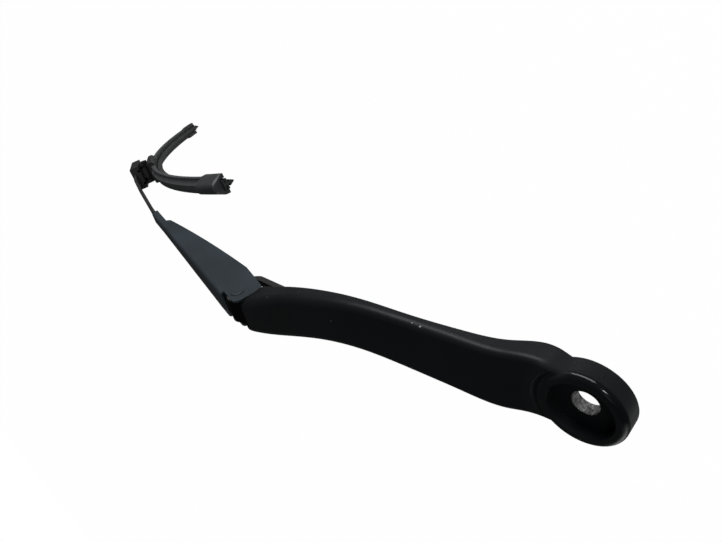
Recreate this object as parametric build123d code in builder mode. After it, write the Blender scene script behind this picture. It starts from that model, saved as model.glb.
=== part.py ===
from build123d import *
import math
import os

os.makedirs("parts", exist_ok=True)

# Windshield wiper: cast head, spring-loaded arm and curved beam blade.
# Millimetres and degrees. The origin is on the spindle axis, at the eye's underside,
# +X runs towards the blade and +Z away from the glass.

# Eye of the head
eye_radius = 20.0
eye_height = 12.3
eye_round = 3.0
eye_foot_round = 1.0
recess_radius = 15.2
recess_depth = 5.9
bore_radius = 6.4
rim_groove_radius = 1.6
rim_groove_gap = 0.8

# Hinge between the head and the channel
hinge_reach = 221.0
hinge_side = 11.2
hinge_rise = 23.3
knuckle_radius = 8.8
pin_radius = 3.5
pin_head_radius = 4.6
pin_head_height = 0.9
bush_wall = 1.3
lug_slot = 7.0
lug_roof = 4.4
washer_radius = 7.4
washer_thickness = 0.5

# Body of the head between the eye and the hinge
head_sway = 6.1
sway_start = 0.52
sway_skew = 1.15
neck_width = 41.0
head_width = 31.8
neck_lean = 3.0
neck_lean_end = 0.19
neck_tuck = 4.5
neck_dip = 1.6
neck_end = 0.22
flare_end = 0.65
flare_power = 1.5
top_sweep = 1.16
underside_rise = 14.3
underside_start = 0.09
underside_power = 4.4
nose_drop = 2.0
nose_start = 0.75
crown_round = 6.5
head_foot_round = 1.0
side_draft = 3.0
shoulder_step = 1.7
taper_start = 0.85
taper_end = 0.93
shoulder_shift = 0.6
shoulder_lean = 2.5
shoulder_round = 7.0
shoulder_round_out = 0.4
head_wall = 3.2
pocket_end = 0.845
head_roof = 4.0
pocket_round = 1.5
rib_start = 0.34
rib_spacing = 0.18
rib_count = 3
rib_thickness = 2.6
rib_recess = 1.5
anchor_back = 24.0
anchor_drop = 5.0
anchor_radius = 2.5

# Stamped channel
arm_droop = 16.5
channel_width = 20.2
channel_wall = 1.4
channel_top = 9.7
channel_length = 175.0
channel_round = 2.4
top_wall_start = 8.0
ear_back = 10.0
ear_top = 6.6
ear_top_round = 4.0
ear_foot_round = 5.0
ear_depth = 14.2
wall_depth = 16.0
wall_full = 22.0
crimp_length = 27.0
crimp_step = 3.0
shoulder_gap = 1.4

# Flat rod
rod_width = 9.0
rod_thickness = 2.6
rod_inside = 26.0
rod_run = 7.0
rod_bend_back = 50.0
rod_bend_half = 13.0
rod_past_pin = 12.0
rod_eye_radius = 2.0
rod_eye_inset = 5.0
rod_eye_drop = 3.2

# Spring and its link
spring_radius = 4.6
wire_radius = 1.2
spring_turns = 16
spring_start = 42.0
spring_length = 60.0
spring_side = -2.0
spring_height = 1.4
link_thickness = 5.0
link_width = 4.0
link_eye = 5.2
link_room = 0.8
link_bend = 6.0
link_tip_radius = 3.6
link_hole_radius = 1.7
link_bends = ((-21.0, -22.0), (9.0, -23.4), (22.0, -16.5))
link_tip = (31.0, -7.0)

# Place of the blade on the arm
clip_reach = 301.5
clip_side = -1.3
clip_drop = 28.7
blade_yaw = 12.0
blade_pitch = 10.8
rod_twist = -4.2

# Blade section and length
blade_radius = 509.6
blade_half = 234.0
strip_past_cap = 3.0
rail_short = 5.0
rail_width = 4.8
rail_thickness = 0.9
rail_floor = 1.6
rail_inset = 1.0
strip_head_half = 3.9
strip_cap_half = 3.4
strip_cap_height = 1.2
neck_half = 0.6
neck_height = 1.2
lip_half = 2.4
lip_height = 3.8
lip_tip_half = 0.4
spoiler_half = 6.5
spoiler_height = 6.4
spoiler_crest_half = 1.2
spoiler_foot = 0.6
flank_groove_height = 3.9
flank_groove_depth = 0.6
flank_groove_half = 0.4
cap_half = 7.5
cap_crest_half = 3.2
cap_height = 11.6
cap_side_height = 3.2
cap_drop = 0.6
cap_length = 26.0
cap_end_wall = 3.0
cap_slot_half = 4.3

# Connector and adapter
base_half_length = 28.0
base_half = 10.5
base_foot_half = 8.5
base_height = 7.4
base_foot = 0.8
base_edge = 2.0
cheek_inside = 5.4
cheek_wall = 2.0
cheek_radius = 4.6
cheek_foot_half = 7.5
rock_height = 13.0
rock_pin_radius = 2.5
rod_lift = 21.4
adapter_half = 11.0
adapter_top = 24.4
adapter_back = 25.0
adapter_front = 27.0
adapter_side_foot = 15.5
adapter_lobe = 5.6
adapter_plate_foot = 18.1
adapter_round = 1.2
button_length = 8.0
button_width = 7.0
button_front = 19.0
button_proud = 1.0
button_travel = 0.8
button_floor = 20.2

# Clearances
fit_gap = 0.01
running_gap = 0.05
seat_gap = 0.1
side_gap = 0.2
free_gap = 0.3

# Lengths and frames worked out from the sizes above
strip_half = blade_half + strip_past_cap
rail_half = blade_half - rail_short
hinge_point = Vector(hinge_reach, hinge_side, hinge_rise)
droop = math.radians(arm_droop)
arm_frame = Plane(
    origin=hinge_point,
    x_dir=(math.cos(droop), 0, -math.sin(droop)),
    z_dir=(math.sin(droop), 0, math.cos(droop)),
)
clip_place = Location((clip_reach, clip_side, -clip_drop), (rod_twist, blade_pitch, blade_yaw))
blade_frame = Plane(arm_frame.location * clip_place)


def hinge_side_plane(side):
    return Plane(origin=hinge_point + Vector(0, side, 0), x_dir=(1, 0, 0), z_dir=(0, -1, 0))


def arm_side_plane(side):
    return Plane(origin=hinge_point + Vector(0, side, 0), x_dir=arm_frame.x_dir, z_dir=(0, -1, 0))


def blade_side_plane(side):
    origin = blade_frame.origin + blade_frame.y_dir * side
    return Plane(origin=origin, x_dir=blade_frame.x_dir, z_dir=blade_frame.y_dir * -1)


def blade_section(place):
    # plane across the blade, at a distance along its arc from the middle
    turn = place / blade_radius
    along = blade_frame.x_dir * math.cos(turn) - blade_frame.z_dir * math.sin(turn)
    out = blade_frame.z_dir * (math.cos(turn) - 1) + blade_frame.x_dir * math.sin(turn)
    return Plane(origin=blade_frame.origin + out * blade_radius, x_dir=blade_frame.y_dir, z_dir=along)


arc_axis = Axis(blade_frame.origin - blade_frame.z_dir * blade_radius, blade_frame.y_dir)


def arc_angle(length):
    return math.degrees(length / blade_radius)


def ease(share):
    share = min(max(share, 0.0), 1.0)
    return share * share * (3 - 2 * share)


# Forms of the head along its length; share is 0 at the spindle and 1 at the hinge pin
shoulder_width = channel_width + 2 * shoulder_step + 2 * shoulder_lean
tongue_width = channel_width - 2 * channel_wall - 2 * washer_thickness - 2 * seat_gap


def shoulder_blend(share):
    return ease((share - taper_start) / (taper_end - taper_start))


def head_middle(share):
    swing = ease((share - sway_start) / (1 - sway_start))
    lean = neck_lean * math.sin(math.pi * min(share / neck_lean_end, 1)) ** 2
    sway = head_sway * math.sin(math.pi * share ** sway_skew) ** 2
    return (hinge_side + shoulder_shift) * swing - sway - lean + shoulder_lean * shoulder_blend(share)


def head_top(share):
    climb = hinge_rise + knuckle_radius - eye_height
    return eye_height - neck_dip * (1 - ease(share / neck_end)) + climb * share ** top_sweep


def head_foot(share):
    past = max(share - underside_start, 0) / (1 - underside_start)
    climb = underside_rise * (1 - (1 - past) ** underside_power)
    return climb - nose_drop * ease((share - nose_start) / (1 - nose_start))


def head_breadth(share):
    body = head_width + (neck_width - head_width) * max(1 - share / flare_end, 0) ** flare_power
    body -= neck_tuck * (1 - ease(share / neck_end))
    return body + (shoulder_width - body) * shoulder_blend(share)


def head_section(share, inset, roof, drop, top_round, foot_round):
    foot = head_foot(share) - drop
    place = Plane(origin=(hinge_reach * share, head_middle(share), foot), x_dir=(0, 1, 0), z_dir=(1, 0, 0))
    with BuildSketch(place) as section:
        Trapezoid(
            head_breadth(share) - 2 * inset,
            head_top(share) - roof - foot,
            90 - side_draft,
            align=(Align.CENTER, Align.MIN),
        )
        fillet(section.vertices().group_by(Axis.Y)[-1], top_round)
        if foot_round > 0:
            fillet(section.vertices().group_by(Axis.Y)[0], foot_round)
    return section.sketch


def head_outside(share):
    return head_section(share, 0, 0, 0, eye_round + (crown_round - eye_round) * share, head_foot_round)


def head_inside(share):
    return head_section(share, head_wall, head_roof, head_wall, pocket_round, 0)


def head_rib(share):
    return head_section(share, head_wall / 2, head_roof / 2, -rib_recess, pocket_round, 0)


neck_stations = (0.015, 0.05, 0.085, 0.12)
pocket_stations = (0.16, 0.26, 0.38, 0.52, 0.66, 0.80)
shoulder_stations = (0.90, 0.99)

with BuildPart() as arm_head:
    loft([head_outside(share) for share in neck_stations + pocket_stations + shoulder_stations])
    # hollow underside with cross ribs
    loft([head_inside(share) for share in pocket_stations + (pocket_end,)], mode=Mode.SUBTRACT)
    for count in range(rib_count):
        extrude(head_rib(rib_start + count * rib_spacing), amount=rib_thickness)
    # end of the shoulder, parallel to the ears
    with BuildSketch(arm_side_plane(0)) as shoulder_cut:
        with Locations((-ear_back - shoulder_gap, 0)):
            Rectangle(hinge_reach, 2 * hinge_reach, align=(Align.MIN, Align.CENTER))
    extrude(amount=hinge_reach, both=True, mode=Mode.SUBTRACT)
    # rounded far corner of the shoulder, in plan
    corner_end = -ear_back - shoulder_gap - shoulder_round
    corner_side = head_middle(1) - hinge_side + shoulder_width / 2 - shoulder_round + shoulder_round_out
    with BuildSketch(arm_frame) as corner:
        with Locations((corner_end, corner_side)):
            Rectangle(shoulder_width, shoulder_width, align=(Align.MIN, Align.MIN))
            Circle(shoulder_round, mode=Mode.SUBTRACT)
    extrude(amount=2 * hinge_rise, both=True, mode=Mode.SUBTRACT)
    # tongue with a knuckle round the pin
    with BuildSketch(hinge_side_plane(0)) as tongue:
        Circle(knuckle_radius)
        with BuildLine():
            roof_back = head_top(1 - anchor_back / hinge_reach) - hinge_rise - head_roof / 2
            Polyline(
                (0, knuckle_radius),
                (-anchor_back, roof_back),
                (-anchor_back, roof_back - head_roof / 2),
                (-knuckle_radius / 2, -knuckle_radius * math.sqrt(3) / 2),
                (0, 0),
                close=True,
            )
        make_face()
    extrude(amount=tongue_width / 2, both=True)
    # slot between the two lugs, rounded where the link's eye turns
    with BuildSketch(hinge_side_plane(0)) as slot_side:
        with Locations((0, lug_roof)):
            Rectangle(2 * anchor_back, 4 * knuckle_radius, align=(Align.CENTER, Align.MAX))
        with Locations((-anchor_back, -anchor_drop)):
            Circle(link_eye + link_room)
            Rectangle(2 * (link_eye + link_room), 4 * knuckle_radius, align=(Align.CENTER, Align.MAX))
    extrude(amount=lug_slot / 2, both=True, mode=Mode.SUBTRACT)
    # bar for the link, across the slot
    with BuildSketch(hinge_side_plane(0)) as anchor:
        with Locations((-anchor_back, -anchor_drop)):
            Circle(anchor_radius)
    extrude(amount=lug_slot, both=True)
    # round eye with the nut recess and the spindle bore
    with BuildSketch(Plane.XZ) as eye_half:
        Rectangle(eye_radius, eye_height, align=(Align.MIN, Align.MIN))
        outer = eye_half.vertices().group_by(Axis.X)[-1]
        fillet(outer.group_by(Axis.Y)[-1], eye_round)
        fillet(eye_half.vertices().group_by(Axis.Y)[0].sort_by(Axis.X)[-1], eye_foot_round)
    revolve(axis=Axis.Z)
    with BuildSketch(Plane.XZ) as rim_groove:
        with Locations((eye_radius + rim_groove_gap, eye_height + rim_groove_gap)):
            Circle(rim_groove_radius)
    revolve(axis=Axis.Z, mode=Mode.SUBTRACT)
    with BuildSketch(Plane.XY.offset(eye_height - recess_depth)) as recess:
        Circle(recess_radius)
    extrude(amount=hinge_rise, mode=Mode.SUBTRACT)
    with BuildSketch(Plane.XY) as bore:
        Circle(bore_radius)
    extrude(amount=eye_height, mode=Mode.SUBTRACT)
    # bores for the two bushes
    with BuildSketch(hinge_side_plane(0)) as bush_bore:
        Circle(pin_radius + running_gap + bush_wall + fit_gap)
    extrude(amount=channel_width, both=True, mode=Mode.SUBTRACT)
arm_head.part.label = "arm_head"
export_step(arm_head.part, "parts/arm_head.step")

with BuildPart() as hinge_bushes:
    for turn in (-1, 1):
        with BuildSketch(hinge_side_plane(turn * lug_slot / 2)):
            Circle(pin_radius + running_gap + bush_wall)
            Circle(pin_radius + running_gap, mode=Mode.SUBTRACT)
        extrude(amount=-turn * (tongue_width - lug_slot) / 2)
hinge_bushes.part.label = "hinge_bushes"
export_step(hinge_bushes.part, "parts/hinge_bushes.step")

with BuildPart() as hinge_washers:
    for turn in (-1, 1):
        with BuildSketch(hinge_side_plane(turn * (tongue_width / 2 + seat_gap / 2))):
            Circle(washer_radius)
            Circle(pin_radius + running_gap, mode=Mode.SUBTRACT)
        extrude(amount=-turn * washer_thickness)
hinge_washers.part.label = "hinge_washers"
export_step(hinge_washers.part, "parts/hinge_washers.step")

with BuildPart() as hinge_pin:
    pin_plane = Plane(origin=hinge_point, x_dir=(1, 0, 0), z_dir=(0, 0, 1))
    with BuildSketch(pin_plane) as pin_half:
        Rectangle(pin_radius, channel_width, align=(Align.MIN, Align.CENTER))
        for turn in (-1, 1):
            with BuildLine():
                edge = turn * channel_width / 2
                crown = turn * (channel_width / 2 + pin_head_height)
                flat = pin_head_radius - pin_head_height
                Polyline((flat, crown), (0, crown), (0, edge), (pin_head_radius, edge))
                RadiusArc((pin_head_radius, edge), (flat, crown), -turn * pin_head_height)
            make_face()
    revolve(axis=Axis(hinge_point, (0, 1, 0)))
hinge_pin.part.label = "hinge_pin"
export_step(hinge_pin.part, "parts/hinge_pin.step")

# Channel: plan outline cut by the side outline, then hollowed towards the glass
channel_half = channel_width / 2
crimp_width = rod_width + 2 * channel_wall
crimp_start = channel_length - crimp_length
crimp_foot = channel_top - 2 * channel_wall - rod_thickness
rod_side = -channel_half + crimp_width / 2
rod_height = channel_top - channel_wall - rod_thickness / 2
top_plane = arm_frame.offset(channel_top)

with BuildPart() as retainer_channel:
    with BuildSketch(top_plane) as plan:
        with BuildLine():
            Polyline(
                (-ear_back, -channel_half),
                (channel_length, -channel_half),
                (channel_length, -channel_half + crimp_width),
                (crimp_start, -channel_half + crimp_width),
                (wall_full, channel_half),
                (-ear_back, channel_half),
                close=True,
            )
        make_face()
    extrude(amount=-channel_top - wall_depth)
    roof_edges = retainer_channel.faces().sort_by(Axis(arm_frame.origin, arm_frame.z_dir))[-1].edges()
    fillet(roof_edges.filter_by(lambda edge: edge.length > crimp_length), channel_round)
    with BuildSketch(arm_side_plane(0)) as side_view:
        with BuildLine():
            free_edge_end = (crimp_start - crimp_step, crimp_foot - crimp_step)
            free_edge_middle = (
                (wall_full + free_edge_end[0]) / 2,
                (free_edge_end[1] - wall_depth) / 2 - channel_wall,
            )
            Polyline(
                (wall_full, -wall_depth),
                (-ear_back, -ear_depth),
                (-ear_back, ear_top),
                (top_wall_start, ear_top),
                (top_wall_start, channel_top),
                (channel_length, channel_top),
                (channel_length, crimp_foot),
                (crimp_start, crimp_foot),
                free_edge_end,
            )
            ThreePointArc(free_edge_end, free_edge_middle, (wall_full, -wall_depth))
        make_face()
        ear_corners = side_view.vertices().group_by(Axis.X)[0].sort_by(Axis.Y)
        fillet(ear_corners[0], ear_foot_round)
        ear_corners = side_view.vertices().group_by(Axis.X)[0].sort_by(Axis.Y)
        fillet(ear_corners[-1], ear_top_round)
    extrude(amount=channel_width, both=True, mode=Mode.INTERSECT)
    with BuildSketch(top_plane.offset(-channel_wall)) as hollow:
        with BuildLine():
            Polyline(
                (-2 * ear_back, -channel_half + channel_wall),
                (crimp_start, -channel_half + channel_wall),
                (crimp_start, -channel_half + crimp_width - channel_wall),
                (wall_full, channel_half - channel_wall),
                (-2 * ear_back, channel_half - channel_wall),
                close=True,
            )
        make_face()
    extrude(amount=-channel_top - 2 * wall_depth, mode=Mode.SUBTRACT)
    # slot of the rod and the seam under it
    across_arm = Plane(origin=arm_frame.origin, x_dir=arm_frame.y_dir, z_dir=arm_frame.x_dir)
    with BuildSketch(across_arm) as rod_slot:
        with Locations((rod_side, rod_height)):
            Rectangle(rod_width + 2 * fit_gap, rod_thickness + 2 * fit_gap)
        with Locations((rod_side, rod_height)):
            Rectangle(channel_wall / 2, crimp_width, align=(Align.CENTER, Align.MAX))
    extrude(amount=channel_length + rod_width, mode=Mode.SUBTRACT)
    with BuildSketch(arm_side_plane(0)) as pin_hole:
        Circle(pin_radius + fit_gap)
    extrude(amount=channel_width, both=True, mode=Mode.SUBTRACT)
retainer_channel.part.label = "retainer_channel"
export_step(retainer_channel.part, "parts/retainer_channel.step")

# Rod: straight in the crimp, then towards the bend and on along the blade
rod_inner = crimp_start - rod_inside


def arm_point(along, side, height):
    return arm_frame.from_local_coords(Vector(along, side, height))


def blade_point(along, side, height):
    return blade_frame.from_local_coords(Vector(along, side, height))


rod_exit = arm_point(channel_length + rod_run, rod_side, rod_height)
rod_corner = blade_point(-rod_bend_back, 0, rod_lift)
free_run = (rod_corner - rod_exit).normalized()
bend_start = rod_corner - free_run * rod_bend_half
bend_end = rod_corner + blade_frame.x_dir * rod_bend_half


def rod_section(place, along, side):
    with BuildSketch(Plane(origin=place, x_dir=side, z_dir=along)) as section:
        RectangleRounded(rod_width, rod_thickness, rod_thickness / 4)
    return section.sketch


def rod_bend(share):
    place = bend_start * (1 - share) ** 2 + rod_corner * 2 * share * (1 - share) + bend_end * share ** 2
    along = free_run * (1 - share) + blade_frame.x_dir * share
    side = arm_frame.y_dir * (1 - share) + blade_frame.y_dir * share
    return rod_section(place, along.normalized(), side.normalized())


rod_eye_end = arm_point(rod_inner, rod_side, rod_height - rod_eye_drop)
rod_straight = arm_point(crimp_start - rod_thickness, rod_side, rod_height)

with BuildPart() as arm_rod:
    sections = [
        rod_section(rod_eye_end, arm_frame.x_dir, arm_frame.y_dir),
        rod_section(rod_straight, arm_frame.x_dir, arm_frame.y_dir),
        rod_section(arm_point(channel_length, rod_side, rod_height), arm_frame.x_dir, arm_frame.y_dir),
        rod_section(rod_exit + free_run * rod_run, free_run, arm_frame.y_dir),
    ]
    sections += [rod_bend(part / 4) for part in range(5)]
    sections.append(rod_section(blade_point(rod_past_pin, 0, rod_lift), blade_frame.x_dir, blade_frame.y_dir))
    loft(sections, ruled=True)
    with BuildSketch(arm_frame) as rod_eye:
        with Locations((rod_inner + rod_eye_inset, rod_side)):
            Circle(rod_eye_radius)
    extrude(amount=channel_top, mode=Mode.SUBTRACT)
arm_rod.part.label = "arm_rod"
export_step(arm_rod.part, "parts/arm_rod.step")

# Link: a flat C from the bar in the head, under the hinge, to the spring
link_path = ((-anchor_back, -anchor_drop), *link_bends, link_tip)

with BuildPart() as spring_link:
    with BuildSketch(hinge_side_plane(0)) as link_side:
        with BuildLine() as link_line:
            FilletPolyline(*link_path, radius=link_bend)
        trace(line_width=link_width)
        with Locations(link_path[0]):
            Circle(link_eye)
        with Locations(link_path[-1]):
            Circle(link_tip_radius)
        with Locations(link_path[0]):
            Circle(anchor_radius + running_gap, mode=Mode.SUBTRACT)
        with Locations(link_path[-1]):
            Circle(link_hole_radius, mode=Mode.SUBTRACT)
    extrude(amount=link_thickness / 2, both=True)
spring_link.part.label = "spring_link"
export_step(spring_link.part, "parts/spring_link.step")

# Spring: wound body with a hook at each end
coil_radius = spring_radius - wire_radius
coil_start = arm_point(spring_start, spring_side, spring_height)

with BuildPart() as tension_spring:
    with BuildLine() as coil:
        Helix(spring_length / spring_turns, spring_length, coil_radius, coil_start, arm_frame.x_dir)
    with BuildSketch(Plane(origin=coil.line @ 0, z_dir=coil.line % 0)) as wire:
        Circle(wire_radius)
    sweep(path=coil.line, is_frenet=True)
tension_spring.part.label = "tension_spring"
export_step(tension_spring.part, "parts/tension_spring.step")

# Blade: profiles swept round its arc
rail_top = rail_floor + rail_thickness
rail_reach = rail_inset + rail_width
cap_floor = rail_top + seat_gap


def profile_at(points, place):
    with BuildSketch(blade_section(place)) as profile:
        with BuildLine():
            Polyline(*points, close=True)
        make_face()
    return profile.sketch


def mirrored(points):
    return list(points) + [(-side, height) for side, height in reversed(points)]


strip_points = mirrored(
    [
        (lip_tip_half, -neck_height - lip_height),
        (lip_half, -neck_height),
        (neck_half, -neck_height),
        (neck_half, 0),
        (strip_head_half, 0),
        (strip_head_half, rail_floor - seat_gap),
        (rail_inset - seat_gap, rail_floor - seat_gap),
        (rail_inset - seat_gap, cap_floor),
        (strip_cap_half, cap_floor),
        (strip_cap_half, cap_floor + strip_cap_height),
    ]
)
with BuildPart() as wiper_strip:
    revolve(profile_at(strip_points, -strip_half), axis=arc_axis, revolution_arc=arc_angle(2 * strip_half))
wiper_strip.part.label = "wiper_strip"
export_step(wiper_strip.part, "parts/wiper_strip.step")

for name, turn in (("rail_inner", -1), ("rail_outer", 1)):
    with BuildPart() as rail:
        with BuildSketch(blade_section(-rail_half)) as rail_profile:
            with Locations((turn * (rail_inset + rail_width / 2), rail_floor + rail_thickness / 2)):
                Rectangle(rail_width, rail_thickness)
        revolve(axis=arc_axis, revolution_arc=arc_angle(2 * rail_half))
    rail.part.label = name
    export_step(rail.part, "parts/" + name + ".step")

# Room for the strip and the rails inside whatever is clipped on them
channel_points = mirrored(
    [
        (strip_head_half + seat_gap, -spoiler_height),
        (strip_head_half + seat_gap, rail_floor - seat_gap),
        (rail_reach + seat_gap, rail_floor - seat_gap),
        (rail_reach + seat_gap, rail_top + seat_gap),
        (strip_cap_half + seat_gap, rail_top + seat_gap),
        (strip_cap_half + seat_gap, cap_floor + strip_cap_height + seat_gap),
    ]
)
flank_foot = (spoiler_half - flank_groove_half / 2, flank_groove_height + flank_groove_half)
flank_middle = (spoiler_half / 2, flank_groove_height + (spoiler_height - flank_groove_height) / 3)

for name, begin, finish in (
    ("spoiler_near", -rail_half, -base_half_length - free_gap),
    ("spoiler_far", base_half_length + free_gap, rail_half),
):
    with BuildPart() as spoiler:
        with BuildSketch(blade_section(begin)) as spoiler_profile:
            with BuildLine():
                Polyline(
                    (0, spoiler_height),
                    (0, spoiler_foot),
                    (spoiler_half - spoiler_foot, spoiler_foot),
                    (spoiler_half, 2 * spoiler_foot),
                    (spoiler_half, flank_groove_height - flank_groove_half),
                    (spoiler_half - flank_groove_depth, flank_groove_height),
                    flank_foot,
                )
                ThreePointArc(flank_foot, flank_middle, (spoiler_crest_half, spoiler_height))
                Line((spoiler_crest_half, spoiler_height), (0, spoiler_height))
            make_face()
            mirror(about=Plane.YZ)
            with BuildLine():
                Polyline(*channel_points, close=True)
            make_face(mode=Mode.SUBTRACT)
        revolve(axis=arc_axis, revolution_arc=arc_angle(finish - begin))
    spoiler.part.label = name
    export_step(spoiler.part, "parts/" + name + ".step")

cap_points = mirrored(
    [
        (cap_half, -cap_drop),
        (cap_half, cap_side_height),
        (cap_crest_half, cap_height),
    ]
)
cap_room = mirrored(
    [
        (spoiler_half + side_gap, spoiler_foot - side_gap),
        (spoiler_half + side_gap, flank_groove_height + side_gap),
        (spoiler_crest_half + side_gap, spoiler_height + side_gap),
    ]
)
cap_slot = mirrored(
    [
        (cap_slot_half, -spoiler_height),
        (cap_slot_half, cap_floor + strip_cap_height + side_gap),
    ]
)
for name, turn in (("end_cap_near", -1), ("end_cap_far", 1)):
    with BuildPart() as cap:
        tip = turn * blade_half
        revolve(profile_at(cap_points, tip), axis=arc_axis, revolution_arc=-turn * arc_angle(cap_length))
        inner_end = turn * (rail_half + side_gap)
        room = cap_length - blade_half + rail_half + cap_length
        revolve(
            profile_at(cap_room, inner_end),
            axis=arc_axis,
            revolution_arc=-turn * arc_angle(room),
            mode=Mode.SUBTRACT,
        )
        past = turn * (blade_half + cap_end_wall)
        revolve(
            profile_at(cap_slot, past),
            axis=arc_axis,
            revolution_arc=-turn * arc_angle(cap_length + room),
            mode=Mode.SUBTRACT,
        )
    cap.part.label = name
    export_step(cap.part, "parts/" + name + ".step")

# Bracket clamped on the rails, with two cheeks for the rocking pin
base_points = mirrored(
    [
        (base_foot_half, base_foot),
        (base_half, base_foot + base_edge),
        (base_half, base_height - base_edge / 2),
        (base_half - base_edge / 2, base_height),
    ]
)
with BuildPart() as connector_base:
    revolve(
        profile_at(base_points, -base_half_length),
        axis=arc_axis,
        revolution_arc=arc_angle(2 * base_half_length),
    )
    revolve(
        profile_at(channel_points, -2 * base_half_length),
        axis=arc_axis,
        revolution_arc=arc_angle(4 * base_half_length),
        mode=Mode.SUBTRACT,
    )
    for turn in (-1, 1):
        with BuildSketch(blade_side_plane(turn * cheek_inside)) as cheek:
            with BuildLine():
                Polyline(
                    (cheek_radius, rock_height),
                    (cheek_foot_half, base_height - base_edge),
                    (-cheek_foot_half, base_height - base_edge),
                    (-cheek_radius, rock_height),
                )
                cheek_crown = (0, rock_height + cheek_radius)
                ThreePointArc((-cheek_radius, rock_height), cheek_crown, (cheek_radius, rock_height))
            make_face()
        extrude(amount=-turn * cheek_wall)
    with BuildSketch(blade_side_plane(0)) as rock_hole:
        with Locations((0, rock_height)):
            Circle(rock_pin_radius + fit_gap)
    extrude(amount=base_half, both=True, mode=Mode.SUBTRACT)
connector_base.part.label = "connector_base"
export_step(connector_base.part, "parts/connector_base.step")

with BuildPart() as connector_pin:
    with BuildSketch(blade_side_plane(0)) as rock_pin:
        with Locations((0, rock_height)):
            Circle(rock_pin_radius)
    extrude(amount=cheek_inside + cheek_wall, both=True)
connector_pin.part.label = "connector_pin"
export_step(connector_pin.part, "parts/connector_pin.step")

# Adapter: plate over the rod, a tongue on the pin and two side skirts
skirt_inside = cheek_inside + cheek_wall + side_gap
tongue_half = cheek_inside - side_gap
rod_room = rod_thickness + 2 * side_gap

with BuildPart() as adapter_body:
    with BuildSketch(blade_side_plane(0)) as adapter_side:
        with BuildLine():
            Polyline(
                (-adapter_back, adapter_side_foot),
                (-adapter_back, adapter_top),
                (adapter_front, adapter_top),
                (adapter_front, adapter_side_foot),
                close=True,
            )
        make_face()
        with Locations((0, rock_height)):
            Circle(adapter_lobe)
        with Locations((0, rock_height)):
            Rectangle(2 * adapter_lobe, adapter_lobe, align=(Align.CENTER, Align.MIN))
    extrude(amount=adapter_half, both=True)
    long_edges = adapter_body.edges().filter_by(Axis(blade_frame.origin, blade_frame.x_dir))
    fillet(long_edges.group_by(Axis(blade_frame.origin, blade_frame.z_dir))[-1], adapter_round)
    # slots of the two cheeks
    across_blade = Plane(origin=blade_frame.origin, x_dir=blade_frame.y_dir, z_dir=blade_frame.x_dir)
    with BuildSketch(across_blade) as slots:
        for turn in (-1, 1):
            with Locations((turn * (tongue_half + skirt_inside) / 2, 0)):
                Rectangle(skirt_inside - tongue_half, adapter_plate_foot, align=(Align.CENTER, Align.MIN))
    extrude(amount=adapter_back + adapter_front, both=True, mode=Mode.SUBTRACT)
    # tunnel of the rod, open at the back
    rod_plane = Plane(
        origin=blade_point(rod_past_pin + side_gap, 0, rod_lift),
        x_dir=blade_frame.y_dir,
        z_dir=blade_frame.x_dir,
    )
    with BuildSketch(rod_plane) as tunnel:
        Rectangle(rod_width + 2 * side_gap, rod_room)
    extrude(amount=-adapter_back - adapter_front, mode=Mode.SUBTRACT)
    # pocket of the release button
    button_plane = Plane(
        origin=blade_point(button_front, 0, button_floor),
        x_dir=blade_frame.x_dir,
        z_dir=blade_frame.z_dir,
    )
    with BuildSketch(button_plane) as pocket:
        Rectangle(button_length + 2 * free_gap, button_width + 2 * free_gap)
    extrude(amount=adapter_top, mode=Mode.SUBTRACT)
    with BuildSketch(blade_side_plane(0)) as rock_bore:
        with Locations((0, rock_height)):
            Circle(rock_pin_radius + running_gap)
    extrude(amount=skirt_inside, both=True, mode=Mode.SUBTRACT)
adapter_body.part.label = "adapter_body"
export_step(adapter_body.part, "parts/adapter_body.step")

with BuildPart() as adapter_button:
    with BuildSketch(button_plane.offset(button_travel + free_gap)) as button:
        RectangleRounded(button_length, button_width, adapter_round)
    extrude(amount=adapter_top - button_floor + button_proud - button_travel - free_gap)
    button_face = adapter_button.faces().sort_by(Axis(blade_frame.origin, blade_frame.z_dir))[-1]
    fillet(button_face.edges(), button_proud / 2)
adapter_button.part.label = "adapter_button"
export_step(adapter_button.part, "parts/adapter_button.step")
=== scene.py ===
import math

import bmesh
import bpy
from mathutils import Matrix, Vector


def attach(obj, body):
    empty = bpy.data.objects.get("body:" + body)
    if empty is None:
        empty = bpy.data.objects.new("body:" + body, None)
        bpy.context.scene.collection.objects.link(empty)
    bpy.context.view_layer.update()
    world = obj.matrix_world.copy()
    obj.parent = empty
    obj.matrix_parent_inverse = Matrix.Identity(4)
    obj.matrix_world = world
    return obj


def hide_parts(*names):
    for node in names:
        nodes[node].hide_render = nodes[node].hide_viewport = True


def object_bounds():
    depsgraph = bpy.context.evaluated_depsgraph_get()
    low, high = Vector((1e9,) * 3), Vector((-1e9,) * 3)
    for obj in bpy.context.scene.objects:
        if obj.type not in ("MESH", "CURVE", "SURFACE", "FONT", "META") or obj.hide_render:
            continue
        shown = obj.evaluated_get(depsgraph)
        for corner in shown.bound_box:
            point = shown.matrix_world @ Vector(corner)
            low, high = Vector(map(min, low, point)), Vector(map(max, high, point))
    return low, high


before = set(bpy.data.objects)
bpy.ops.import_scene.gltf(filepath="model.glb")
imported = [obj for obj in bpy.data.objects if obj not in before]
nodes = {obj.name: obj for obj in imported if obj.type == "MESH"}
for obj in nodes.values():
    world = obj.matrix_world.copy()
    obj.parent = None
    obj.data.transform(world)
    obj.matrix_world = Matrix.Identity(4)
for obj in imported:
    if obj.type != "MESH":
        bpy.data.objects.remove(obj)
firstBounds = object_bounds()

mm = 0.001
# the arm's hinge in mm, and how far the arm slopes down from it in degrees
armPlace = {"hinge": (221.0, 11.2, 23.3), "droop": 16.5}


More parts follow.
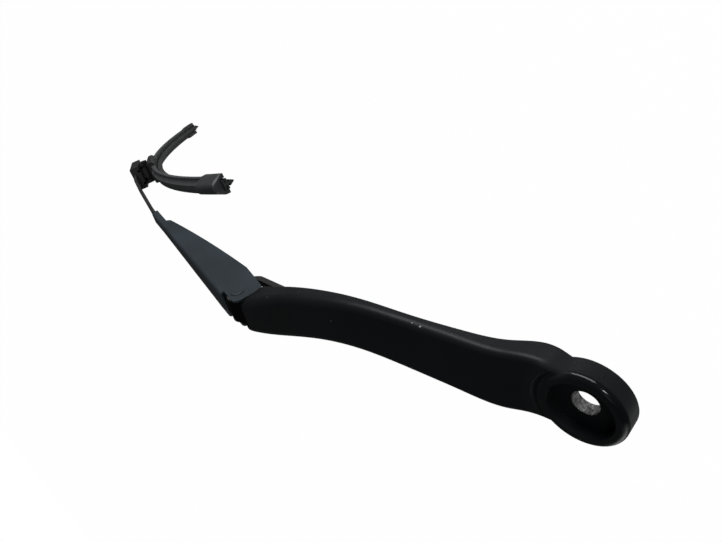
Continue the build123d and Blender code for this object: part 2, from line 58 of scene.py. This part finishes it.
class Wire:
    # one socket of a node tree, with the usual operators
    def __init__(self, tree, socket=None):
        self.tree = tree
        self.socket = socket

    def add(self, kind, settings=None, sockets=None, output=0):
        node = self.tree.nodes.new(kind)
        for name, value in (settings or {}).items():
            setattr(node, name, value)
        for name, value in (sockets or {}).items():
            if isinstance(value, Wire):
                self.tree.links.new(value.socket, node.inputs[name])
            else:
                node.inputs[name].default_value = value
        return Wire(self.tree, node.outputs[output] if len(node.outputs) else None)

    def math(self, operation, *values):
        sockets = dict(enumerate((self,) + values))
        return self.add("ShaderNodeMath", {"operation": operation}, sockets)

    def __add__(self, other):
        return self.math("ADD", other)

    def __sub__(self, other):
        return self.math("SUBTRACT", other)

    def __rsub__(self, other):
        return self.math("MULTIPLY_ADD", -1.0, other)

    def __mul__(self, other):
        return self.math("MULTIPLY", other)

    def step(self, low, high):
        # 0 below low, 1 above high, smooth between
        sockets = {"Value": self, "From Min": low, "From Max": high}
        return self.add("ShaderNodeMapRange", {"interpolation_type": "SMOOTHSTEP"}, sockets)

    def pick(self, first, second):
        # colour between two others
        return self.add("ShaderNodeMix", {"data_type": "RGBA"}, {0: self, 6: first, 7: second}, 2)


def newMaterial(name):
    mat = bpy.data.materials.new(name)
    mat.use_nodes = True
    mat.node_tree.nodes.clear()
    return mat, Wire(mat.node_tree)


def noise(start, place, scale, detail=3.0, roughness=0.5):
    sockets = {"Vector": place, "Scale": scale, "Detail": detail, "Roughness": roughness}
    return start.add("ShaderNodeTexNoise", None, sockets)


def stretched(start, place, factors):
    return start.add("ShaderNodeMapping", None, {"Vector": place, "Scale": factors})


def surface(start, **sockets):
    shader = start.add("ShaderNodeBsdfPrincipled", None, sockets)
    start.add("ShaderNodeOutputMaterial", None, {"Surface": shader})


def grey(level, tint=(1.0, 1.0, 1.0)):
    return tuple(level * part for part in tint) + (1.0,)


# Paint, plastic and rubber: a cloudy colour, a fine grain and a little dust
coatMix = {
    "cloudRange": (0.3, 0.7),
    "dustRange": (0.56, 0.80),
    "dustPatch": (0.35, 0.75),
    "dustRough": 0.1,
    "dustScale": 1400.0,
    "plain": (1.0, 1.0, 1.0),
}


def makeCoat(name, look):
    mat, start = newMaterial(name)
    place = start.add("ShaderNodeTexCoord", output="Object")
    grainPlace = stretched(start, place, look.get("stretch", coatMix["plain"]))
    cloud = noise(start, place, look["cloudScale"], 4.0)
    grain = noise(start, grainPlace, look["grainScale"], look.get("grainDetail", 2.0))
    dust = noise(start, place, look.get("dustScale", coatMix["dustScale"]), 6.0, 0.7)
    dust = dust.step(*coatMix["dustRange"]) * cloud.step(*coatMix["dustPatch"])
    colour = cloud.step(*coatMix["cloudRange"]).pick(look["dark"], look["light"])
    colour = (dust * look["dust"]).pick(colour, look["dustColour"])
    rough = cloud * look["roughSpread"] + (look["rough"] - look["roughSpread"] / 2)
    rough = rough + dust * coatMix["dustRough"]
    bump = start.add(
        "ShaderNodeBump",
        None,
        {"Strength": look["bump"], "Distance": look["bumpDepth"], "Height": grain},
    )
    surface(
        start,
        **{
            "Base Color": colour,
            "Roughness": rough,
            "Specular IOR Level": look.get("specular", 0.5),
            "Normal": bump,
        },
    )
    return mat


# Bare metal: drawn or turned, with stains
metalMix = {"lineRange": (0.3, 0.7), "stainRange": (0.45, 0.75), "stainRough": 0.25}


def makeMetal(name, look):
    mat, start = newMaterial(name)
    place = start.add("ShaderNodeTexCoord", output="Object")
    lines = noise(start, stretched(start, place, look["stretch"]), look["grainScale"], 4.0, 0.6)
    stain = noise(start, place, look["stainScale"], 5.0, 0.6).step(*metalMix["stainRange"])
    colour = lines.step(*metalMix["lineRange"]).pick(look["dark"], look["light"])
    colour = (stain * look["stain"]).pick(colour, look["stainColour"])
    bump = start.add(
        "ShaderNodeBump",
        None,
        {"Strength": look["bump"], "Distance": look["bumpDepth"], "Height": lines},
    )
    surface(
        start,
        **{
            "Base Color": colour,
            "Metallic": 1.0,
            "Roughness": stain * metalMix["stainRough"] + look["rough"],
            "Normal": bump,
        },
    )
    return mat


# Head: gloss black over the casting, bare in the bore, a few chips, and painted shade in the gap at the
# hinge
headLook = {
    "dark": grey(0.0042, (0.80, 1.0, 1.25)),
    "light": grey(0.0075, (0.80, 1.0, 1.25)),
    "metal": grey(0.44, (1.0, 0.99, 0.97)),
    "metalDark": grey(0.08, (1.0, 0.97, 0.93)),
    "boreRadius": 6.47 * mm,
    "boreTop": 6.7 * mm,
    # painted shade band in the hinge gap: where it starts and ends along the arm
    "paintedShadeFrom": -13.6 * mm,
    "paintedShadeTo": -12.4 * mm,
    "rimFrom": 17.2 * mm,
    "eyeRim": 23.0 * mm,
    "neckFrom": 3.0 * mm,
    "neckTo": 9.0 * mm,
    "farFrom": -6.0 * mm,
    "farTo": -1.0 * mm,
    "eyeRough": 0.13,
    "rimFade": 0.8 * mm,
    "eyeFade": 5.0 * mm,
    "neckDull": 0.35,
    "rough": 0.42,
    "roughSpread": 0.10,
    "specular": 0.22,
    "cloudScale": 22.0,
    "cloudRange": (0.3, 0.7),
    "peelScale": 620.0,
    "peelBump": 0.16,
    "peelDepth": 0.05 * mm,
    "scratchScale": 1500.0,
    "scratchStretch": (0.12, 1.0, 1.0),
    "scratchRange": (0.66, 0.74),
    "scratchPatch": (0.5, 0.7),
    "scratch": 0.10,
    "scratchColour": grey(0.09),
    "scratchRough": 0.12,
    # painted shade in the hinge gap: how strong it is, its near-black colour, and the roughness it adds
    "paintedShade": 0.85,
    "paintedShadeColour": grey(0.002),
    "paintedShadeRough": 0.3,
    "speckleScale": 1300.0,
    "speckleRange": (0.38, 0.62),
    "bareRough": 0.34,
    "raggedScale": 420.0,
    "raggedDepth": 0.9 * mm,
    "raggedMiddle": 0.45,
    "chipBare": 0.8,
    "chips": (
        (133.5, -7.6, 23.3, 0.55),
        (186.3, -7.2, 24.6, 0.45),
        (76.1, -20.3, 16.3, 0.50),
        (80.9, -20.8, 16.1, 0.30),
    ),
}


def makeHeadPaint(look):
    mat, start = newMaterial("headPaint")
    place = start.add("ShaderNodeTexCoord", output="Object")
    split = start.add("ShaderNodeSeparateXYZ", None, {"Vector": place})
    axisX = Wire(split.tree, split.socket.node.outputs["X"])
    axisY = Wire(split.tree, split.socket.node.outputs["Y"])
    axisZ = Wire(split.tree, split.socket.node.outputs["Z"])
    cloud = noise(start, place, look["cloudScale"], 5.0)
    peel = noise(start, place, look["peelScale"], 2.0)
    scratchPlace = stretched(start, place, look["scratchStretch"])
    scratch = noise(start, scratchPlace, look["scratchScale"], 3.0, 0.7).step(*look["scratchRange"])
    scratch = scratch * cloud.step(*look["scratchPatch"])
    colour = cloud.step(*look["cloudRange"]).pick(look["dark"], look["light"])
    colour = (scratch * look["scratch"]).pick(colour, look["scratchColour"])
    rough = cloud * look["roughSpread"] + (look["rough"] - look["roughSpread"] / 2)
    rough = rough + scratch * look["scratchRough"]
    # painted shade: a near-black metallic band where the head goes in between the ears, standing for
    # the shadow in that gap
    hinge = Vector(armPlace["hinge"])
    turn = math.radians(armPlace["droop"])
    along = (axisX - hinge.x * mm) * math.cos(turn) - (axisZ - hinge.z * mm) * math.sin(turn)
    paintedShade = along.step(look["paintedShadeFrom"], look["paintedShadeTo"]) * look["paintedShade"]
    colour = paintedShade.pick(colour, look["paintedShadeColour"])
    rough = rough + paintedShade * look["paintedShadeRough"]
    # the eye's near rim is polished, its neck side dull
    reach = (axisX * axisX + axisY * axisY).math("SQRT")
    nearEye = 1.0 - reach.step(look["eyeRim"], look["eyeRim"] + look["eyeFade"])
    neckSide = axisX.step(look["neckFrom"], look["neckTo"])
    farSide = axisY.step(look["farFrom"], look["farTo"])
    rim = reach.step(look["rimFrom"], look["rimFrom"] + look["rimFade"]) * nearEye
    rim = rim * (1.0 - neckSide) * (1.0 - farSide)
    rough = rough + rim * (look["eyeRough"] - look["rough"]) + nearEye * neckSide * look["neckDull"]
    # bare metal in the bore and in the chips
    ragged = noise(start, place, look["raggedScale"], 4.0)
    bare = reach.math("LESS_THAN", look["boreRadius"]) * axisZ.math("LESS_THAN", look["boreTop"])
    worn = ragged * look["raggedDepth"]
    for chipX, chipY, chipZ, size in look["chips"]:
        middle = {"X": chipX * mm, "Y": chipY * mm, "Z": chipZ * mm}
        point = start.add("ShaderNodeCombineXYZ", None, middle)
        away = start.add(
            "ShaderNodeVectorMath",
            {"operation": "DISTANCE"},
            {0: place, 1: point},
            "Value",
        )
        spot = (away + worn).math("LESS_THAN", (size + look["raggedMiddle"]) * mm)
        bare = bare.math("MAXIMUM", spot * look["chipBare"])
    speckle = noise(start, place, look["speckleScale"], 4.0, 0.7).step(*look["speckleRange"])
    colour = bare.pick(colour, speckle.pick(look["metalDark"], look["metal"]))
    rough = bare * (look["bareRough"] - rough) + rough
    bump = start.add(
        "ShaderNodeBump",
        None,
        {"Strength": look["peelBump"], "Distance": look["peelDepth"], "Height": peel},
    )
    surface(
        start,
        **{
            "Base Color": colour,
            # metallic in the painted shade band too, so that the band renders black
            "Metallic": bare.math("MAXIMUM", paintedShade),
            "Roughness": rough,
            "Specular IOR Level": look["specular"],
            "Normal": bump,
        },
    )
    return mat


coolDust = grey(0.12, (0.96, 1.0, 1.04))
coatLooks = {
    "armPaint": {
        "dark": grey(0.0315, (0.76, 1.0, 1.20)),
        "light": grey(0.0450, (0.76, 1.0, 1.20)),
        "cloudScale": 26.0,
        "grainScale": 1100.0,
        "dust": 0.10,
        "dustColour": coolDust,
        "rough": 0.50,
        "roughSpread": 0.10,
        "bump": 0.20,
        "bumpDepth": 0.03 * mm,
        "specular": 0.22,
    },
    "rodPaint": {
        "dark": grey(0.018),
        "light": grey(0.026),
        "cloudScale": 30.0,
        "grainScale": 1300.0,
        "stretch": (0.15, 1.0, 1.0),
        "dust": 0.10,
        "dustColour": coolDust,
        "rough": 0.44,
        "roughSpread": 0.10,
        "bump": 0.20,
        "bumpDepth": 0.03 * mm,
        "specular": 0.4,
    },
    "linkCoat": {
        "dark": grey(0.010),
        "light": grey(0.018),
        "cloudScale": 60.0,
        "grainScale": 1400.0,
        "dust": 0.15,
        "dustColour": grey(0.10),
        "rough": 0.50,
        "roughSpread": 0.14,
        "bump": 0.22,
        "bumpDepth": 0.03 * mm,
    },
    "washerPlastic": {
        "dark": grey(0.06),
        "light": grey(0.085),
        "cloudScale": 80.0,
        "grainScale": 1800.0,
        "dust": 0.1,
        "dustColour": grey(0.2),
        "rough": 0.45,
        "roughSpread": 0.1,
        "bump": 0.1,
        "bumpDepth": 0.02 * mm,
    },
    "clipPlastic": {
        "dark": grey(0.006),
        "light": grey(0.010),
        "cloudScale": 50.0,
        "grainScale": 2200.0,
        "grainDetail": 3.0,
        "dust": 0.16,
        "dustColour": grey(0.09),
        "rough": 0.42,
        "roughSpread": 0.12,
        "bump": 0.30,
        "bumpDepth": 0.03 * mm,
        "specular": 0.4,
    },
    "capPlastic": {
        "dark": grey(0.032, (0.93, 1.0, 1.05)),
        "light": grey(0.043, (0.93, 1.0, 1.05)),
        "cloudScale": 60.0,
        "grainScale": 2600.0,
        "grainDetail": 3.0,
        "dustScale": 3200.0,
        "dust": 0.12,
        "dustColour": grey(0.12),
        "rough": 0.46,
        "roughSpread": 0.12,
        "bump": 0.30,
        "bumpDepth": 0.03 * mm,
        "specular": 0.45,
    },
    "spoilerRubber": {
        "dark": grey(0.058, (0.95, 1.0, 1.04)),
        "light": grey(0.072, (0.95, 1.0, 1.04)),
        "cloudScale": 34.0,
        "grainScale": 2600.0,
        "dustScale": 3200.0,
        "stretch": (0.2, 1.0, 1.0),
        "dust": 0.14,
        "dustColour": grey(0.11, (1.0, 0.99, 0.96)),
        "rough": 0.60,
        "roughSpread": 0.16,
        "bump": 0.14,
        "bumpDepth": 0.02 * mm,
        "specular": 0.4,
    },
    "stripRubber": {
        "dark": grey(0.018, (0.94, 1.0, 1.04)),
        "light": grey(0.027, (0.94, 1.0, 1.04)),
        "cloudScale": 44.0,
        "grainScale": 2600.0,
        "dustScale": 3000.0,
        "stretch": (0.1, 1.0, 1.0),
        "dust": 0.25,
        "dustColour": grey(0.12),
        "rough": 0.56,
        "roughSpread": 0.18,
        "bump": 0.2,
        "bumpDepth": 0.03 * mm,
        "specular": 0.4,
    },
}
metalLooks = {
    "springSteel": {
        "dark": grey(0.20),
        "light": grey(0.36, (1.0, 1.0, 1.03)),
        "stretch": (0.25, 1.0, 1.0),
        "grainScale": 1600.0,
        "stainScale": 130.0,
        "stain": 0.35,
        "stainColour": grey(0.10, (1.0, 0.92, 0.84)),
        "rough": 0.32,
        "bump": 0.2,
        "bumpDepth": 0.02 * mm,
    },
    "pinSteel": {
        "dark": grey(0.36),
        "light": grey(0.50),
        "stretch": (1.0, 0.2, 1.0),
        "grainScale": 1800.0,
        "stainScale": 160.0,
        "stain": 0.3,
        "stainColour": grey(0.18, (1.0, 0.95, 0.9)),
        "rough": 0.28,
        "bump": 0.15,
        "bumpDepth": 0.02 * mm,
    },
    "bushBronze": {
        "dark": grey(0.42, (1.0, 0.78, 0.42)),
        "light": grey(0.58, (1.0, 0.78, 0.42)),
        "stretch": (1.0, 1.0, 1.0),
        "grainScale": 2400.0,
        "stainScale": 200.0,
        "stain": 0.4,
        "stainColour": grey(0.20, (1.0, 0.74, 0.45)),
        "rough": 0.36,
        "bump": 0.3,
        "bumpDepth": 0.03 * mm,
    },
}
materials = {name: makeCoat(name, look) for name, look in coatLooks.items()}
materials.update({name: makeMetal(name, look) for name, look in metalLooks.items()})
materials["headPaint"] = makeHeadPaint(headLook)
nodeCoats = {
    "arm_head": "headPaint",
    "hinge_bushes": "bushBronze",
    "hinge_washers": "washerPlastic",
    "hinge_pin": "armPaint",
    "retainer_channel": "armPaint",
    "arm_rod": "rodPaint",
    "spring_link": "linkCoat",
    "tension_spring": "springSteel",
    "wiper_strip": "stripRubber",
    "rail_inner": "springSteel",
    "rail_outer": "springSteel",
    "spoiler_near": "spoilerRubber",
    "spoiler_far": "spoilerRubber",
    "end_cap_near": "capPlastic",
    "end_cap_far": "capPlastic",
    "connector_base": "clipPlastic",
    "connector_pin": "pinSteel",
    "adapter_body": "clipPlastic",
    "adapter_button": "clipPlastic",
}
for nodeName, coatName in nodeCoats.items():
    nodes[nodeName].data.materials.clear()
    nodes[nodeName].data.materials.append(materials[coatName])
print("materials:", len(materials), "on", len(nodeCoats), "nodes")


# Geometry Nodes helpers
def newTree(name, inputs):
    tree = bpy.data.node_groups.new(name, "GeometryNodeTree")
    keys = {}
    for label, kind, value in inputs:
        item = tree.interface.new_socket(label, in_out="INPUT", socket_type=kind)
        keys[label] = item.identifier
        if value is not None:
            item.default_value = value
    tree.interface.new_socket("Geometry", in_out="OUTPUT", socket_type="NodeSocketGeometry")
    return tree, keys


def treeToMesh(name, tree, keys, values, mat, data=None):
    shell = bpy.data.objects.new(name + "Shell", data or bpy.data.meshes.new(name + "Empty"))
    bpy.context.scene.collection.objects.link(shell)
    modifier = shell.modifiers.new("build", "NODES")
    modifier.node_group = tree
    for label, value in values.items():
        modifier[keys[label]] = value
    ready = shell.evaluated_get(bpy.context.evaluated_depsgraph_get())
    mesh = bpy.data.meshes.new_from_object(ready)
    mesh.name = name
    piece = bpy.data.objects.new(name, mesh)
    bpy.context.scene.collection.objects.link(piece)
    bpy.data.objects.remove(shell)
    piece.data.materials.clear()
    piece.data.materials.append(mat)
    return piece


# Fine ribs round the bore, pressed in by the spindle
knurl = {"count": 60, "radius": 6.4, "depth": 0.28, "foot": 0.4, "length": 5.6}
boreMetal = {
    "dark": grey(0.14),
    "light": grey(0.60),
    "stretch": (1.0, 1.0, 0.35),
    "grainScale": 1100.0,
    "stainScale": 520.0,
    "stain": 0.75,
    "stainColour": grey(0.06, (1.0, 0.96, 0.9)),
    "rough": 0.26,
    "bump": 0.4,
    "bumpDepth": 0.05 * mm,
}
materials["boreMetal"] = makeMetal("boreMetal", boreMetal)


def makeKnurl():
    inputs = (
        ("Count", "NodeSocketInt", knurl["count"]),
        ("Radius", "NodeSocketFloat", knurl["radius"] * mm),
        ("Rib", "NodeSocketFloat", knurl["depth"] * mm),
        ("Length", "NodeSocketFloat", knurl["length"] * mm),
        ("Foot", "NodeSocketFloat", knurl["foot"] * mm),
        ("Metal", "NodeSocketMaterial", None),
    )
    tree, keys = newTree("boreKnurlTree", inputs)
    start = Wire(tree)
    group = start.add("NodeGroupInput")
    given = {label: Wire(tree, group.socket.node.outputs[label]) for label, kind, value in inputs}
    ring = start.add(
        "GeometryNodeMeshCircle",
        None,
        {"Vertices": given["Count"], "Radius": given["Radius"]},
    )
    rib = start.add(
        "GeometryNodeMeshCone",
        {"fill_type": "NGON"},
        {
            "Vertices": 3,
            "Radius Top": given["Rib"],
            "Radius Bottom": given["Rib"],
            "Depth": given["Length"],
        },
        "Mesh",
    )
    spot = start.add("GeometryNodeInputPosition")
    facing = start.add("FunctionNodeAlignRotationToVector", {"axis": "X"}, {"Vector": spot})
    ribs = start.add(
        "GeometryNodeInstanceOnPoints",
        None,
        {"Points": ring, "Instance": rib, "Rotation": facing},
    )
    lift = start.add("ShaderNodeCombineXYZ", None, {"Z": given["Foot"]})
    moved = start.add("GeometryNodeTransform", None, {"Geometry": ribs, "Translation": lift})
    real = start.add("GeometryNodeRealizeInstances", None, {"Geometry": moved})
    painted = start.add("GeometryNodeSetMaterial", None, {"Geometry": real, "Material": given["Metal"]})
    start.add("NodeGroupOutput", None, {"Geometry": painted})
    metal = materials["boreMetal"]
    return treeToMesh("boreKnurl", tree, keys, {"Metal": metal}, metal)


boreKnurl = makeKnurl()
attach(boreKnurl, "head")
print("bore ribs:", len(boreKnurl.data.polygons), "faces")

# Hooks of the spring: bent wire from the coil's ends, through the link's hole and the rod's eye
hookLook = {
    "wire": 1.15,
    "sides": 14,
    "pathSteps": 14,
    "pathOrder": 3,
    "rodHook": (
        (102.0, -2.0, 4.8),
        (102.4, -5.0, 4.8),
        (102.8, -5.8, 1.4),
        (108.0, -4.6, 0.6),
        (119.0, -4.2, 0.6),
        (127.0, -4.2, 0.9),
        (127.0, -4.2, 7.2),
        (121.0, -4.2, 7.0),
    ),
    "coilHook": (
        (41.85, -1.85, 4.8),
        (41.5, 1.0, 4.8),
        (41.0, 2.2, 1.6),
        (38.2, 4.12, 1.6),
    ),
    "linkHook": (
        (38.2, 4.12, 1.6),
        (37.5, 4.6, 1.6),
        (31.7, 5.0, 2.1),
        (31.7, -5.0, 2.1),
        (36.5, -4.4, 2.1),
    ),
}


def armPoint(along, side, height):
    turn = math.radians(armPlace["droop"])
    forward = along * math.cos(turn) + height * math.sin(turn)
    upward = height * math.cos(turn) - along * math.sin(turn)
    return (Vector(armPlace["hinge"]) + Vector((forward, side, upward))) * mm


def makeHook(name):
    curve = bpy.data.curves.new(name + "Path", "CURVE")
    curve.dimensions = "3D"
    curve.resolution_u = hookLook["pathSteps"]
    spline = curve.splines.new("NURBS")
    route = [armPoint(*point) for point in hookLook[name]]
    spline.points.add(len(route) - 1)
    for point, place in zip(spline.points, route):
        point.co = (*place, 1.0)
    spline.order_u = hookLook["pathOrder"]
    spline.use_endpoint_u = True
    inputs = (
        ("Path", "NodeSocketGeometry", None),
        ("Wire", "NodeSocketFloat", hookLook["wire"] * mm),
        ("Metal", "NodeSocketMaterial", None),
    )
    tree, keys = newTree(name + "Tree", inputs)
    start = Wire(tree)
    group = start.add("NodeGroupInput")
    given = {label: Wire(tree, group.socket.node.outputs[label]) for label, kind, value in inputs}
    ring = start.add(
        "GeometryNodeCurvePrimitiveCircle",
        None,
        {"Resolution": hookLook["sides"], "Radius": given["Wire"]},
    )
    tube = start.add(
        "GeometryNodeCurveToMesh",
        None,
        {"Curve": given["Path"], "Profile Curve": ring, "Fill Caps": True},
    )
    real = start.add("GeometryNodeRealizeInstances", None, {"Geometry": tube})
    painted = start.add("GeometryNodeSetMaterial", None, {"Geometry": real, "Material": given["Metal"]})
    start.add("NodeGroupOutput", None, {"Geometry": painted})
    metal = materials["springSteel"]
    hook = treeToMesh(name, tree, keys, {"Metal": metal}, metal, curve)
    for face in hook.data.polygons:
        face.use_smooth = len(face.vertices) == 4
    return hook


for hookName, hookBody in (("rodHook", "arm"), ("coilHook", "arm"), ("linkHook", "link")):
    hook = makeHook(hookName)
    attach(hook, hookBody)
    print(hookName, len(hook.data.polygons), "faces")

# End caps: the moulded edges rounded
capRound = {
    "width": 2.2 * mm,
    "segments": 5,
    "angle": 40.0,
    "broad": 1.7 * mm,
    "merge": 0.002 * mm,
    "profile": 0.5,
    "flat": 1.0,
    "smooth": 32.0,
}


# area over rim length, so that thin walls and lips keep their edges
def broadFace(face):
    return face.calc_area() / face.calc_perimeter() > capRound["broad"]


def makeCap(nodeName, name):
    joined = bmesh.new()
    joined.from_mesh(nodes[nodeName].data)
    bmesh.ops.remove_doubles(joined, verts=joined.verts, dist=capRound["merge"])
    flat = math.radians(capRound["flat"])
    bmesh.ops.dissolve_limit(joined, angle_limit=flat, verts=joined.verts, edges=joined.edges)
    corner = math.radians(capRound["angle"])
    sharp = []
    for edge in joined.edges:
        outward = len(edge.link_faces) == 2 and edge.calc_face_angle_signed() > corner
        if outward and all(broadFace(face) for face in edge.link_faces):
            sharp.append(edge)
    bmesh.ops.bevel(
        joined,
        geom=sharp,
        offset=capRound["width"],
        offset_type="OFFSET",
        segments=capRound["segments"],
        profile=capRound["profile"],
        affect="EDGES",
        clamp_overlap=False,
    )
    mesh = bpy.data.meshes.new(name)
    joined.to_mesh(mesh)
    joined.free()
    mesh.materials.append(materials["capPlastic"])
    piece = bpy.data.objects.new(name, mesh)
    bpy.context.scene.collection.objects.link(piece)
    for face in piece.data.polygons:
        face.use_smooth = True
    piece.data.set_sharp_from_angle(angle=math.radians(capRound["smooth"]))
    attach(piece, "blade")
    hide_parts(nodeName)
    print(name, len(piece.data.polygons), "faces,", len(sharp), "edges rounded")


makeCap("end_cap_near", "capNear")
makeCap("end_cap_far", "capFar")

# Stage: pale floor, white behind, a large soft light at the side and three small ones
stageLook = {
    "floorDrop": 0.60,
    "floorSize": 80.0,
    "floorWhite": 0.992,
    "floorGrey": 0.9,
    "worldGrey": 0.012,
    "glossShare": 0.06,
    "keyPlace": (0.28, -1.26, 0.04),
    "keySize": (1.3, 0.45),
    "keyPower": 15.0,
    "edgePlace": (-0.66, -0.74, 0.68),
    "edgeSize": (0.16, 0.12),
    "edgePower": 3.4,
    "backPlace": (-0.50, 1.40, 0.10),
    "backSize": (1.0, 0.5),
    "backPower": 5.0,
    "topPlace": (-0.7, -0.2, 1.6),
    "topSize": (0.6, 0.6),
    "topPower": 0.6,
    "aim": (0.22, 0.0, 0.0),
}


# white to the camera and through clear parts, dimmer in reflections so that the paint stays black
def seenWhite(start):
    rays = start.add("ShaderNodeLightPath")
    outputs = rays.socket.node.outputs
    camera = Wire(rays.tree, outputs["Is Camera Ray"])
    through = Wire(rays.tree, outputs["Is Transmission Ray"])
    glossy = Wire(rays.tree, outputs["Is Glossy Ray"])
    return camera.math("MAXIMUM", through).math("MAXIMUM", glossy * stageLook["glossShare"])


def makeFloor(low):
    mat, start = newMaterial("floorWhite")
    seen = seenWhite(start) * stageLook["floorWhite"]
    matte = start.add("ShaderNodeBsdfDiffuse", None, {"Color": grey(stageLook["floorGrey"])})
    white = start.add("ShaderNodeEmission", None, {"Color": grey(1.0), "Strength": 1.0})
    mixed = start.add("ShaderNodeMixShader", None, {0: seen, 1: matte, 2: white})
    start.add("ShaderNodeOutputMaterial", None, {"Surface": mixed})
    half = stageLook["floorSize"] / 2
    height = low - stageLook["floorDrop"]
    mesh = bpy.data.meshes.new("floor")
    corners = [
        (-half, -half, height),
        (half, -half, height),
        (half, half, height),
        (-half, half, height),
    ]
    mesh.from_pydata(corners, [], [(0, 1, 2, 3)])
    mesh.materials.append(mat)
    floor = bpy.data.objects.new("floor", mesh)
    bpy.context.scene.collection.objects.link(floor)


def makeLight(name):
    data = bpy.data.lights.new(name, "AREA")
    data.shape = "RECTANGLE"
    data.size, data.size_y = stageLook[name + "Size"]
    data.energy = stageLook[name + "Power"]
    lamp = bpy.data.objects.new(name, data)
    lamp.location = stageLook[name + "Place"]
    aim = Vector(stageLook["aim"]) - lamp.location
    lamp.rotation_mode = "QUATERNION"
    lamp.rotation_quaternion = aim.to_track_quat("-Z", "Y")
    bpy.context.scene.collection.objects.link(lamp)


def makeWorld():
    world = bpy.data.worlds.new("white")
    bpy.context.scene.world = world
    world.use_nodes = True
    world.node_tree.nodes.clear()
    start = Wire(world.node_tree)
    level = seenWhite(start) * (1.0 - stageLook["worldGrey"]) + stageLook["worldGrey"]
    shade = start.add("ShaderNodeBackground", None, {"Color": grey(1.0), "Strength": level})
    start.add("ShaderNodeOutputWorld", None, {"Surface": shade})


def makeCamera():
    look = {
        "place": (-0.08132740784, -0.20706893083, 0.17731507132),
        "right": (-0.7348147, 0.21383625, -0.64367804),
        "up": (0.23777679, -0.80756443, -0.5397239),
        "forward": (0.63522402, 0.54964875, -0.54256491),
        "lens": 30.59,
        "sensor": 36.0,
        "clip": (0.01, 50.0),
    }
    data = bpy.data.cameras.new("camera")
    data.sensor_width = look["sensor"]
    data.lens = look["lens"]
    data.clip_start, data.clip_end = look["clip"]
    camera = bpy.data.objects.new("camera", data)
    back = -Vector(look["forward"])
    turn = Matrix((look["right"], look["up"], back)).transposed().to_4x4()
    camera.matrix_world = Matrix.Translation(look["place"]) @ turn
    bpy.context.scene.collection.objects.link(camera)
    bpy.context.scene.camera = camera


makeFloor(firstBounds[0].z)
for lightName in ("key", "edge", "back", "top"):
    makeLight(lightName)
makeWorld()
makeCamera()
bpy.context.scene.view_settings.view_transform = "Standard"
print("stage, lights and camera set")
